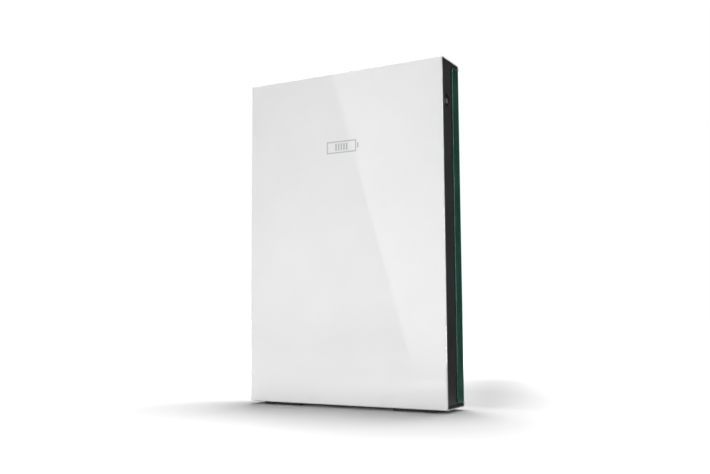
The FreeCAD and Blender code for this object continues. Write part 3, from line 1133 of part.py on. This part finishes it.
for route in ROUTES:
    hoses.append(tube(route, 15, outer, inner_radius))
    points = [Vector(*(number(value) for value in point)) for point in route]
    for end, beyond in ((points[0], points[1]), (points[-1], points[-2])):
        toward = (beyond - end).normalize()
        band = Part.makeCylinder(outer + 1, 5, end + toward * 2.5, toward)
        clamps.append(band.cut(Part.makeCylinder(outer, 5, end + toward * 2.5, toward)))
feature(Part.makeCompound(hoses), "coolant_hoses")
feature(Part.makeCompound(clamps), "hose_clamps")

# Cables: two from the upper module to the inverter, two between the modules, three to the wiring compartment.
cables = []
MODULE_TOP = "module_upper + module_height / 2"
for x, y in DC_FEEDS:
    lead = tube([(x, y, MODULE_TOP), (x, y, INV_BOTTOM + " + 30")], 5, 4.5)
    gland = Part.makeCylinder(8, 6, Vector(number(x), number(y), number(MODULE_TOP)))
    cables.append(lead.fuse(gland))
for y in (-42, -30):
    cables.append(tube([("module_width / 2", y, "module_lower + 40"), (SIDE_GAP, y, "module_lower + 40"),
                        (SIDE_GAP, y, "module_upper - 40"), ("module_width / 2", y, "module_upper - 40")],
                       7, 3.5))
for y, z in FEEDS:
    cables.append(tube([(INV_RIGHT + " - 20", y, z), ("wiring_centre - wiring_width / 2 + 20", y, z)], 5, 4))
feature(Part.makeCompound(cables), "power_cables")

# ================================================================ checks and files
doc.recompute()
for item in doc.Objects:
    assert not {"Invalid", "Error"} & set(item.State), f"{item.Label}: {item.State}"
os.makedirs("parts", exist_ok=True)
for label, item in NODES.items():
    shape = item.Shape
    assert not shape.isNull() and shape.isValid() and shape.Solids, f"{label}: no valid solid"
    shape.exportStep(f"parts/{label}.step")
    box = shape.BoundBox
    spans = ((box.XMin, box.XMax), (box.YMin, box.YMax), (box.ZMin, box.ZMax))
    reach = "  ".join(f"{low:8.2f} {high:8.2f}" for low, high in spans)
    print(f"{label:24s} {len(shape.Solids):4d}  {reach}  {shape.Volume / 1000:9.1f} cm3")
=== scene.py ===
"""Looks of the wall battery unit: a material for every CAD node, and a plain pale studio.

Everything is in metres in the CAD's frame: +X to the viewer's right, +Y to the wall, +Z up, with the origin
on the floor.
"""
import json
import math

import bpy
from mathutils import Matrix, Vector


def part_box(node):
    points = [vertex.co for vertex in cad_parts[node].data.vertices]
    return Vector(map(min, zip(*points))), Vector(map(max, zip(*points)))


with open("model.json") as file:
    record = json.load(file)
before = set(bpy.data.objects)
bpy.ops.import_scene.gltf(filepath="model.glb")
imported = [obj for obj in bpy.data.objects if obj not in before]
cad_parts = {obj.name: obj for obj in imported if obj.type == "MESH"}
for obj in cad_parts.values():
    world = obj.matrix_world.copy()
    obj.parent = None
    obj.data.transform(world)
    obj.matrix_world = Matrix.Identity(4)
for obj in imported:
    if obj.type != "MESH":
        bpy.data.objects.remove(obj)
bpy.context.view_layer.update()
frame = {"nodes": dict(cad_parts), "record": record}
NODES = frame["nodes"]
LOOKS = {}
WHITE = (1, 1, 1, 1)
# Widths in metres of the edges that show wear and of those that carry a painted highlight.
PAINT_EDGE = 0.0008
FINE_EDGE = 0.0005
LENS_HIGHLIGHT_EDGE = 0.0018

scene = bpy.context.scene
scene.view_settings.view_transform = "Standard"
scene.view_settings.look = "None"


# ---------------------------------------------------------------- shader nodes
class Shader:
    """A material's nodes, with short ways to add and join them. LOOKS keeps the material by its name."""

    INPUTS = {
        "color": "Base Color",
        "metallic": "Metallic",
        "roughness": "Roughness",
        "specular": "Specular IOR Level",
        "coat": "Coat Weight",
        "coat_roughness": "Coat Roughness",
        "transmission": "Transmission Weight",
        "subsurface": "Subsurface Weight",
        "emission": "Emission Color",
        "emission_strength": "Emission Strength",
    }
    # Cosines of a bevelled normal's lean: an edge begins to show at the first and shows fully at the second.
    FLAT, SHARP = 0.995, 0.80

    def __init__(self, name):
        self.material = LOOKS[name] = bpy.data.materials.new(name)
        self.material.use_nodes = True
        self.tree = self.material.node_tree
        self.bsdf = self.tree.nodes["Principled BSDF"]
        self.place = self.add("ShaderNodeTexCoord").outputs["Object"]

    def add(self, kind, inputs=(), **settings):
        node = self.tree.nodes.new(kind)
        for key, value in settings.items():
            setattr(node, key, value)
        for key, value in dict(inputs).items():
            self.feed(node.inputs[key], value)
        return node

    def feed(self, socket, value):
        if isinstance(value, bpy.types.NodeSocket):
            self.tree.links.new(value, socket)
        else:
            socket.default_value = value

    def noise(self, scale, detail, stretch=(1, 1, 1)):
        place = self.place
        if stretch != (1, 1, 1):
            place = self.add("ShaderNodeMapping", {"Vector": place, "Scale": stretch}).outputs[0]
        inputs = {"Vector": place, "Scale": scale, "Detail": detail}
        return self.add("ShaderNodeTexNoise", inputs).outputs["Fac"]

    def ramp(self, value, low, high, out_low=0.0, out_high=1.0):
        inputs = {"Value": value, "From Min": low, "From Max": high, "To Min": out_low, "To Max": out_high}
        return self.add("ShaderNodeMapRange", inputs).outputs[0]

    def spread(self, noise, low, high):
        """The middle part of a noise, spread from low to high."""
        return self.ramp(noise, 0.3, 0.7, low, high)

    def patches(self, noise, a, b):
        """Two colours in soft patches of a noise."""
        return self.mix(self.ramp(noise, 0.35, 0.7), a, b)

    def mix(self, factor, a, b):
        """Two colours mixed. The node has its colours at inputs 6 and 7, and their mixture at output 2."""
        return self.add("ShaderNodeMix", {0: factor, 6: a, 7: b}, data_type="RGBA").outputs[2]

    def combine(self, operation, a, b):
        return self.add("ShaderNodeMath", {0: a, 1: b}, operation=operation).outputs[0]

    def normal(self):
        return self.add("ShaderNodeNewGeometry").outputs["Normal"]

    def along(self, axis, vector):
        return self.add("ShaderNodeSeparateXYZ", {0: vector}).outputs[axis]

    def edges(self, radius):
        """1 on sharp edges and 0 on flats, from how far a bevelled normal leans from the true one."""
        bevel = self.add("ShaderNodeBevel", {"Radius": radius}, samples=4).outputs[0]
        lean = self.add("ShaderNodeVectorMath", {0: bevel, 1: self.normal()}, operation="DOT_PRODUCT")
        return self.ramp(lean.outputs["Value"], self.FLAT, self.SHARP)

    def bump(self, height, depth):
        """Relief from a height of 0 to 1, with its depth in metres."""
        relief = self.add("ShaderNodeBump", {"Height": height, "Distance": depth, "Strength": 1.0})
        self.feed(self.bsdf.inputs["Normal"], relief.outputs[0])

    def set(self, **inputs):
        for key, value in inputs.items():
            self.feed(self.bsdf.inputs[self.INPUTS[key]], value)
        return self.material


def scaled(color, factor):
    return tuple(min(1, c * factor) for c in color[:3]) + (1,)


# ---------------------------------------------------------------- kinds of material
def coated(name, color, roughness, coat=0.0, peel=2e-5, peel_scale=900, edge_wear_and_highlight=0.35, edge=None, specular=0.5,
           coat_roughness=0.12):
    """Paint or powder coat: orange peel, uneven gloss, faint grime, and lighter edges that show wear and,
    where the edge weight is large, a painted highlight.
    """
    s = Shader(name)
    cloudy = s.noise(6, 4)
    fine = s.noise(peel_scale, 2)
    # Lighter edges show wear, and where the edge weight is large they are a painted highlight.
    lighter_edges = s.combine("MULTIPLY", s.edges(PAINT_EDGE), s.noise(60, 3))
    tint = s.patches(cloudy, scaled(color, 0.985), scaled(color, 1.01))
    tint = s.mix(s.combine("MULTIPLY", lighter_edges, edge_wear_and_highlight), tint, edge or scaled(color, 1.25))
    uneven = s.spread(cloudy, roughness * 0.9, roughness * 1.12)
    gloss = s.combine("ADD", uneven, s.spread(fine, -0.01, 0.01))
    s.bump(fine, peel)
    return s.set(color=tint, roughness=gloss, coat=coat, coat_roughness=coat_roughness, specular=specular)


def moulded(name, color, roughness, grain=3e-5):
    """Injection-moulded plastic with a fine spark-eroded grain and a soft painted highlight on its edges."""
    s = Shader(name)
    grainy = s.noise(1500, 2)
    cloudy = s.noise(25, 3)
    tint = s.mix(s.ramp(cloudy, 0.3, 0.75), color, scaled(color, 1.12))
    # Lighter edges: a painted highlight.
    tint = s.mix(s.combine("MULTIPLY", s.edges(FINE_EDGE), 0.35), tint, scaled(color, 1.9))
    s.bump(grainy, grain)
    return s.set(color=tint, roughness=s.spread(cloudy, roughness * 0.88, roughness * 1.1))


def metal(name, color, roughness, brushed=(1, 1, 1), depth=1.2e-5):
    """Bare or plated metal, with a brushed direction given by a stretch, and brighter rubbed edges."""
    s = Shader(name)
    lines = s.noise(500, 3, brushed)
    stains = s.noise(18, 4)
    tint = s.patches(stains, scaled(color, 0.86), color)
    tint = s.mix(s.combine("MULTIPLY", s.edges(FINE_EDGE), 0.5), tint, scaled(color, 1.25))
    s.bump(lines, depth)
    return s.set(color=tint, metallic=1.0, roughness=s.spread(stains, roughness * 0.85, roughness * 1.2))


def rubber(name, color, roughness=0.75):
    """Rubber, foam or cable sheath, with a matt grain and a little dust."""
    s = Shader(name)
    dust = s.noise(40, 4)
    s.bump(s.noise(1200, 3), 5e-5)
    tint = s.mix(s.ramp(dust, 0.4, 0.75, 0.0, 0.5), color, scaled(color, 2.2))
    return s.set(color=tint, roughness=s.spread(dust, roughness * 0.9, roughness * 1.1), specular=0.35)


def board(name, color):
    """A circuit board: solder mask with faint copper tracks below it."""
    s = Shader(name)
    inputs = {"Vector": s.place, "Scale": 260.0}
    cells = s.add("ShaderNodeTexVoronoi", inputs, distance="MANHATTAN", feature="F1").outputs["Distance"]
    tracks = s.ramp(cells, 0.28, 0.33)
    tint = s.mix(tracks, scaled(color, 1.6), color)
    s.bump(tracks, 2e-5)
    return s.set(color=tint, roughness=0.32, coat=0.4, coat_roughness=0.15)


def shell_with_painted_shade(name):
    """White paint, with darker grey on faces turned to the wall: painted shade that keeps the brightly lit
    back from washing out.
    """
    s = Shader(name)
    cloudy = s.noise(6, 4)
    to_wall = s.ramp(s.along("Y", s.normal()), 0.3, 0.9)
    # Darker grey for faces turned to the wall: painted shade.
    wall_face_shade = s.patches(cloudy, (0.33, 0.335, 0.34, 1), (0.36, 0.365, 0.37, 1))
    white = s.patches(cloudy, (0.73, 0.73, 0.725, 1), (0.75, 0.75, 0.745, 1))
    lighter_edges = s.combine("MULTIPLY", s.edges(PAINT_EDGE), 0.12)
    tint = s.mix(lighter_edges, s.mix(to_wall, white, wall_face_shade), (0.9, 0.9, 0.9, 1))
    s.bump(s.noise(1400, 2), 1.5e-5)
    return s.set(color=tint, roughness=s.spread(cloudy, 0.38, 0.47))


def smoked_lens(name):
    """Smoked green plastic, polished and faintly uneven, with a painted highlight on its edges."""
    s = Shader(name)
    depth = s.noise(14, 2)
    tint = s.mix(s.spread(depth, 0.0, 1.0), (0.024, 0.094, 0.068, 1), (0.031, 0.118, 0.085, 1))
    # Lighter green on the edges: a painted highlight.
    tint = s.mix(s.edges(LENS_HIGHLIGHT_EDGE), tint, (0.50, 0.86, 0.74, 1))
    s.bump(s.noise(220, 2), 6e-6)
    return s.set(color=tint, roughness=s.spread(depth, 0.20, 0.27), coat=0.35, coat_roughness=0.1)


def cell_sleeve(name, bare=0.0015):
    """A plain blue-green sleeve on cans that lie along Y, bare steel for the last bit at both ends."""
    s = Shader(name)
    place = s.along("Y", s.place)
    low, high = (v.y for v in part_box("battery_cells"))
    ends = s.combine("MAXIMUM", s.ramp(place, low, low + bare, 1.0, 0.0), s.ramp(place, high - bare, high))
    tint = s.mix(ends, (0.02, 0.14, 0.17, 1), (0.62, 0.62, 0.60, 1))
    s.bump(s.noise(300, 3), 1.5e-5)
    return s.set(color=tint, metallic=ends, roughness=s.spread(s.noise(30, 3), 0.28, 0.42))


def milky(name):
    """Cloudy white plastic that lets a little light through."""
    s = Shader(name)
    s.bump(s.noise(90, 3), 8e-5)
    return s.set(color=(0.80, 0.80, 0.75, 1), roughness=0.38, subsurface=0.25, transmission=0.25)


# ---------------------------------------------------------------- one look for each material slot
coated("cover_white", (0.785, 0.785, 0.785, 1), 0.045, coat=0.8, peel=8e-7, peel_scale=180, edge_wear_and_highlight=0.1,
       coat_roughness=0.02)
coated("side_charcoal", (0.034, 0.037, 0.036, 1), 0.42, peel=2.5e-5, peel_scale=1600, edge_wear_and_highlight=0.3,
       edge=(0.16, 0.17, 0.17, 1), specular=0.2)
metal("steel", (0.58, 0.59, 0.61, 1), 0.32, brushed=(1, 1, 6))
metal("tray_aluminium", (0.66, 0.67, 0.68, 1), 0.36, brushed=(0.15, 4, 4))
metal("inverter_aluminium", (0.46, 0.47, 0.48, 1), 0.52, depth=6e-5)
metal("plate_aluminium", (0.70, 0.71, 0.72, 1), 0.34, brushed=(4, 4, 0.2))
metal("nickel", (0.70, 0.67, 0.62, 1), 0.28, brushed=(0.1, 3, 3))
metal("contact_brass", (0.74, 0.58, 0.26, 1), 0.30)
metal("copper", (0.72, 0.32, 0.14, 1), 0.26, brushed=(6, 6, 1))
coated("bracket_steel", (0.055, 0.056, 0.058, 1), 0.42, edge_wear_and_highlight=0.5, edge=(0.3, 0.3, 0.31, 1))
coated("lid_grey", (0.40, 0.41, 0.42, 1), 0.45, edge_wear_and_highlight=0.4)
coated("module_blue", (0.12, 0.13, 0.15, 1), 0.38, edge_wear_and_highlight=0.5, edge=(0.4, 0.41, 0.43, 1))
moulded("foot_black", (0.022, 0.022, 0.023, 1), 0.55)
moulded("fan_black", (0.030, 0.030, 0.032, 1), 0.48)
moulded("pump_black", (0.045, 0.045, 0.050, 1), 0.42)
moulded("connector_grey", (0.12, 0.13, 0.14, 1), 0.50)
moulded("clip_grey", (0.20, 0.20, 0.20, 1), 0.40)
moulded("relay_grey", (0.10, 0.10, 0.11, 1), 0.38)
moulded("impeller_grey", (0.52, 0.52, 0.52, 1), 0.35)
moulded("badge_grey", (0.40, 0.41, 0.42, 1), 0.35, grain=8e-6)
# The switch's light edges are a painted highlight.
coated("switch_black", (0.028, 0.028, 0.030, 1), 0.18, peel=6e-6, peel_scale=1500, edge_wear_and_highlight=1.6,
       edge=(0.32, 0.32, 0.33, 1))
rubber("rubber_black", (0.022, 0.022, 0.022, 1))
rubber("gasket_foam", (0.045, 0.045, 0.045, 1), 0.9)
rubber("pad_grey", (0.40, 0.43, 0.46, 1), 0.7)
rubber("cable_orange", (0.70, 0.17, 0.02, 1), 0.42)
moulded("cap_black", (0.030, 0.032, 0.055, 1), 0.25, grain=1e-5)
moulded("led_white", (0.86, 0.88, 0.80, 1), 0.3, grain=1e-5)
board("board_green", (0.015, 0.10, 0.045, 1))
shell_with_painted_shade("enclosure_white")
smoked_lens("lens_green")
cell_sleeve("cell_steel")
milky("bottle_milky")

# The switch's key shares its housing's slot, but is lighter.
OWN_LOOKS = {"switch_rocker": moulded("rocker_grey", (0.25, 0.25, 0.255, 1), 0.28, grain=6e-6)}

for part in frame["record"]["subparts"]:
    materials = NODES[part["node"]].data.materials
    materials.clear()
    materials.append(OWN_LOOKS.get(part["node"], LOOKS[part["material_slot"]]))


# ---------------------------------------------------------------- studio
def floor(size, glow_from, glow_full):
    """A pale matt floor. Far away the camera sees it glow, so that it meets the surround with no horizon."""
    s = Shader("studio_floor")
    s.bump(s.noise(40, 3), 1e-4)
    position = s.add("ShaderNodeNewGeometry").outputs["Position"]
    distance = s.add("ShaderNodeVectorMath", {0: position}, operation="LENGTH").outputs["Value"]
    seen = s.add("ShaderNodeLightPath").outputs["Is Camera Ray"]
    glow = s.combine("MULTIPLY", s.ramp(distance, glow_from, glow_full), seen)
    s.set(color=(0.60, 0.60, 0.60, 1), roughness=0.9, specular=0.0, emission=WHITE, emission_strength=glow)
    bpy.ops.mesh.primitive_plane_add(size=size, location=(0, 0, 0))
    plane = bpy.context.object
    plane.name = "studio_floor"
    plane.data.materials.append(s.material)


def sheet(name, corners, kind, socket, value, unseen):
    """A flat sheet with one plain shader. Camera, diffuse, transmission and volume rays pass it by.

    So do those of the kind that unseen names.
    """
    mesh = bpy.data.meshes.new(name)
    mesh.from_pydata(corners, [], [tuple(range(len(corners)))])
    material = bpy.data.materials.new(name)
    material.use_nodes = True
    tree = material.node_tree
    tree.nodes.remove(tree.nodes["Principled BSDF"])
    shader = tree.nodes.new(kind)
    shader.inputs[socket].default_value = value
    tree.links.new(shader.outputs[0], tree.nodes["Material Output"].inputs["Surface"])
    mesh.materials.append(material)
    item = bpy.data.objects.new(name, mesh)
    scene.collection.objects.link(item)
    for ray in ("camera", "diffuse", "transmission", "volume_scatter", unseen):
        setattr(item, "visible_" + ray, False)


def card(name, corners, strength):
    """A flat card that only reflections see: white and bright, or black where the strength is 0."""
    sheet(name, corners, "ShaderNodeEmission", "Strength", strength, unseen="shadow")


def net(name, corners, passing):
    """A net hung above the floor, which only takes some light away from what lies below it."""
    tint = (passing, passing, passing, 1)
    sheet(name, corners, "ShaderNodeBsdfTransparent", "Color", tint, unseen="glossy")


def softbox(name, place, target, size, power):
    """A square light that lights surfaces but is not mirrored in them."""
    data = bpy.data.lights.new(name, "AREA")
    data.size = size
    data.energy = power
    light = bpy.data.objects.new(name, data)
    light.visible_glossy = False
    light.location = place
    light.rotation_euler = (Vector(target) - Vector(place)).to_track_quat("-Z", "Y").to_euler()
    scene.collection.objects.link(light)


def surround(seen, lighting):
    """A white surround: as bright as seen to the camera, and as bright as lighting for everything else."""
    world = bpy.data.worlds.new("studio")
    scene.world = world
    world.use_nodes = True
    tree = world.node_tree
    path = tree.nodes.new("ShaderNodeLightPath")
    level = tree.nodes.new("ShaderNodeMapRange")
    level.inputs["To Min"].default_value = lighting
    level.inputs["To Max"].default_value = seen
    tree.links.new(path.outputs["Is Camera Ray"], level.inputs["Value"])
    background = tree.nodes["Background"]
    background.inputs["Color"].default_value = WHITE
    tree.links.new(level.outputs[0], background.inputs["Strength"])


floor(size=80, glow_from=0.7, glow_full=3.5)
surround(seen=1.0, lighting=0.3)
# Lights above and behind keep the floor white and throw the shadow forward.
softbox("top_back", place=(0.15, 0.75, 3.4), target=(0.1, 0.2, 0), size=1.5, power=110)
softbox("top_near", place=(0.0, 0.45, 3.0), target=(0, 0.1, 0), size=1.0, power=60)
softbox("back_left", place=(-1.8, 2.2, 3.0), target=(0, 0, 0), size=1.5, power=52)
# Lights in front even out the cover, with a little more at its top and its foot.
softbox("low_front", place=(-0.3, -4.0, 0.9), target=(0, 0, 0.6), size=2.0, power=52)
softbox("high_front", place=(-0.1, -1.0, 1.5), target=(0, 0, 1.15), size=0.5, power=1.7)
softbox("kick", place=(0.0, -1.3, 0.2), target=(0, 0, 0.05), size=0.4, power=3.6)
# A net softens the light on the floor behind the unit and to its right.
net("net", [(0.22, 0.15, 0.8), (0.47, 0.15, 0.8), (0.2, 1.25, 0.8), (-0.15, 1.25, 0.8)], passing=0.3)
# A tall card in front gives the glossy cover its slanting sheen, and one far to the right lights its edge.
card("sheen", [(-0.31, -1.5, -0.28), (-0.952, -1.5, 1.93), (1.4, -1.5, 1.93), (1.4, -1.5, -0.28)], 1.15)
card("edge", [(3.2, -0.7, -0.2), (3.2, 0.6, -0.2), (3.2, 0.6, 3.0), (3.2, -0.7, 3.0)], 15.0)
# Black flags keep the dark side from turning grey.
card("flag", [(0.8, 6.0, -0.1), (9.0, 2.0, -0.1), (9.0, 2.0, 6.0), (0.8, 6.0, 6.0)], 0.0)
card("floor_flag", [(0.45, 0.2, 0.002), (6.0, 0.2, 0.002), (6.0, 6.0, 0.002), (0.45, 6.0, 0.002)], 0.0)

# The camera stands low and to the right, at the photograph's angle. Its roll is in radians.
LENS_MM, SENSOR_MM, FAR = 42.284, 36, 200
EYE = Vector((1.39688, -2.53059, 0.31326))
YAW, PITCH, ROLL = math.radians(-28.7075), math.radians(5.2985), -0.0068071
forward = Vector((math.sin(YAW) * math.cos(PITCH), math.cos(YAW) * math.cos(PITCH), math.sin(PITCH)))
level_right = Vector((math.cos(YAW), -math.sin(YAW), 0))
level_up = level_right.cross(forward)
right = level_right * math.cos(ROLL) + level_up * math.sin(ROLL)
up = level_up * math.cos(ROLL) - level_right * math.sin(ROLL)
camera = bpy.data.objects.new("camera", bpy.data.cameras.new("camera"))
camera.data.lens = LENS_MM
camera.data.sensor_width = SENSOR_MM
camera.data.clip_end = FAR
camera.matrix_world = Matrix((
    (right.x, up.x, -forward.x, EYE.x),
    (right.y, up.y, -forward.y, EYE.y),
    (right.z, up.z, -forward.z, EYE.z),
    (0, 0, 0, 1)))
scene.collection.objects.link(camera)
scene.camera = camera
